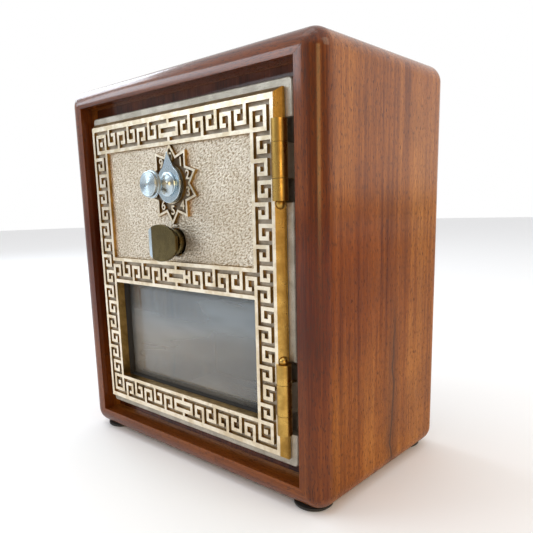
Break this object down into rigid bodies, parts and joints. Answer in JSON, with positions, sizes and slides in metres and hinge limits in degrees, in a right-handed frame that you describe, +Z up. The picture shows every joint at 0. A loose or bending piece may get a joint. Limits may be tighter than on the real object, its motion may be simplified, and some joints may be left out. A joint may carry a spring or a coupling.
{
  "type": "donation lock box",
  "caption": "Wooden lock box for coins and notes: cast brass door with key-pattern relief, star dial, thumb latch and window, money slot in the top.",
  "frame": {"origin": "under the middle of the whole object, on the surface that the feet stand on", "axes": "+Z up, the door faces -Y, its hinges are on +X"},
  "size_m": [0.18, 0.1222, 0.2015],
  "materials": {
    "walnut": "satin oil finish, straight brown grain",
    "recess_wood": "dark stained, satin",
    "cast_brass": "cast brass, antiqued ground with rubbed high edges",
    "machined_brass": "brushed lacquered brass",
    "frame_metal": "grey beige, matt",
    "nickel": "turned nickel plate",
    "bronze": "dark olive bronze, satin",
    "steel": "zinc plated",
    "glass": "clear bevelled glass",
    "black_rubber": "matt black"
  },
  "bodies": {
    "case": {"left_board": "walnut", "right_board": "walnut", "top_board": "walnut", "bottom_board": "walnut", "front_panel": "recess_wood", "back_panel": "recess_wood", "rubber_feet": "black_rubber", "foot_screws": "steel", "door_frame": "frame_metal", "frame_screws": "steel", "upper_hinge_pin": "machined_brass", "lower_hinge_pin": "machined_brass"},
    "door": {"door_leaf": "cast_brass", "window_gasket": "black_rubber", "window_glass": "glass", "glass_retainer": "steel", "retainer_screws": "steel", "lock_case": "machined_brass", "case_screws": "steel", "lock_cover": "machined_brass", "cover_screws": "steel", "bolt_spring": "steel"},
    "dial": {"pointer": "nickel", "dial_knob": "nickel", "dial_spindle": "steel", "drive_wheel": "machined_brass", "wheel_washers": "steel", "spindle_clip": "steel"},
    "front_tumbler": {"front_tumbler_wheel": "machined_brass"},
    "middle_tumbler": {"middle_tumbler_wheel": "machined_brass"},
    "rear_tumbler": {"rear_tumbler_wheel": "machined_brass"},
    "latch": {"latch_knob": "bronze", "latch_spindle": "bronze", "latch_crank": "steel"},
    "bolt": {"latch_bolt": "steel"}
  },
  "joints": [
    {"name": "door_hinge", "type": "hinge", "parent": "case", "child": "door", "pos_m": [0.0681, -0.0449, 0.1015], "axis": [0, 0, 1], "range_deg": [0, 120]},
    {"name": "dial_spin", "type": "hinge", "parent": "door", "child": "dial", "pos_m": [0, -0.0487, 0.1458], "axis": [0, 1, 0], "continuous": true},
    {"name": "front_tumbler_spin", "type": "hinge", "parent": "door", "child": "front_tumbler", "pos_m": [0, -0.0487, 0.1458], "axis": [0, 1, 0], "continuous": true},
    {"name": "middle_tumbler_spin", "type": "hinge", "parent": "door", "child": "middle_tumbler", "pos_m": [0, -0.0487, 0.1458], "axis": [0, 1, 0], "continuous": true},
    {"name": "rear_tumbler_spin", "type": "hinge", "parent": "door", "child": "rear_tumbler", "pos_m": [0, -0.0487, 0.1458], "axis": [0, 1, 0], "continuous": true},
    {"name": "latch_turn", "type": "hinge", "parent": "door", "child": "latch", "pos_m": [0, -0.0549, 0.1178], "axis": [0, 1, 0], "range_deg": [0, 50]},
    {"name": "bolt_slide", "type": "slide", "parent": "door", "child": "bolt", "axis": [1, 0, 0], "range_m": [0, 0.00676], "stiffness_N_per_m": 250, "springref_m": -0.004, "deforming": ["bolt_spring"]}
  ],
  "couplings": [
    {"joint": "front_tumbler_spin", "follows": "dial_spin", "ratio": 1},
    {"joint": "middle_tumbler_spin", "follows": "dial_spin", "ratio": 1},
    {"joint": "rear_tumbler_spin", "follows": "dial_spin", "ratio": 1},
    {"joint": "latch_turn", "follows": "bolt_slide", "rad_per_m": 129.06}
  ]
}
